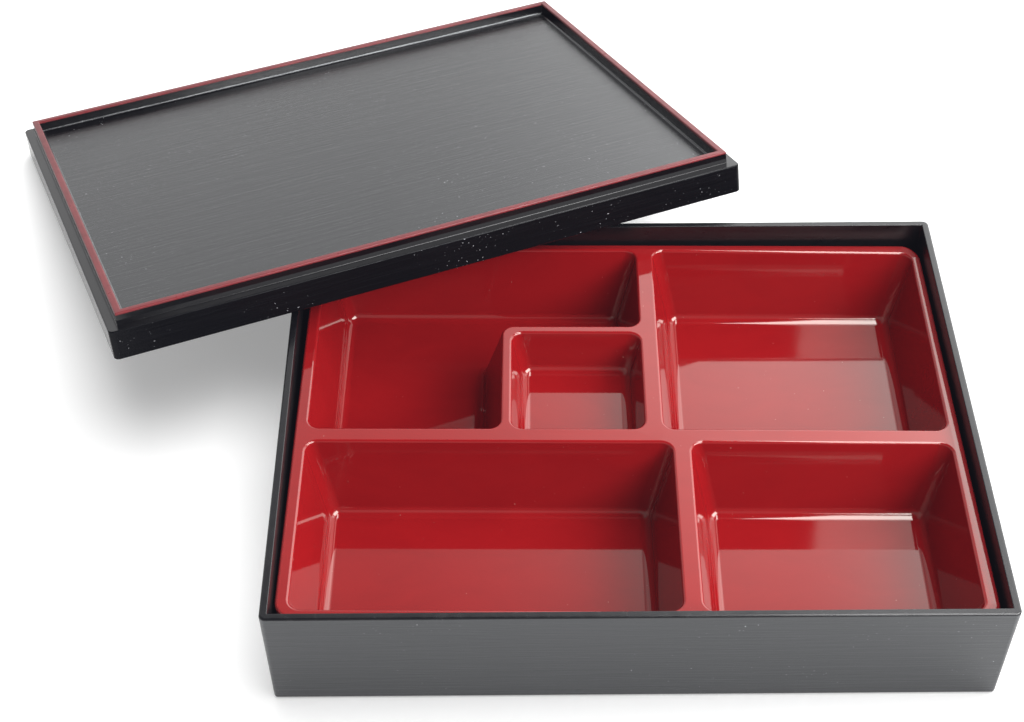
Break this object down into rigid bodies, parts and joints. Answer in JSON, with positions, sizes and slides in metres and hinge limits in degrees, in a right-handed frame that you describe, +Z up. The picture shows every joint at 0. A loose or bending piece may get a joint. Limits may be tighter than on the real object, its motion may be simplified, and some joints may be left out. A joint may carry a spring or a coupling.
{
  "type": "bento lunch box",
  "caption": "Rectangular lacquer-style lunch box with a lift-out tray of compartments and a separate lid lying over its back corner.",
  "frame": {"origin": "middle of the underside of the outer box, on the table", "axes": "+X along the long side of the box to the right, +Y to the back of the box, +Z up out of its mouth"},
  "size_m": [0.4224, 0.4326, 0.072],
  "materials": {
    "black_grained_abs": "satin black with fine level wood grain, smooth on the rim",
    "red_gloss_abs": "high gloss red",
    "black_lid_abs": "satin black with fine wood grain along the lid",
    "red_line_paint": "satin red paint"
  },
  "bodies": {
    "box": {"outer_box": "black_grained_abs"},
    "tray": {"compartment_tray": "red_gloss_abs"},
    "lid": {"lid_shell": "black_lid_abs", "lid_rim_line": "red_line_paint"}
  },
  "joints": [
    {"name": "tray_lift", "type": "slide", "parent": "box", "child": "tray", "axis": [0, 0, 1], "range_m": [0, 0.06]},
    {"name": "lid_lift", "type": "slide", "parent": "tray", "child": "lid", "axis": [0, 0, 1], "range_m": [0, 0.08]}
  ]
}
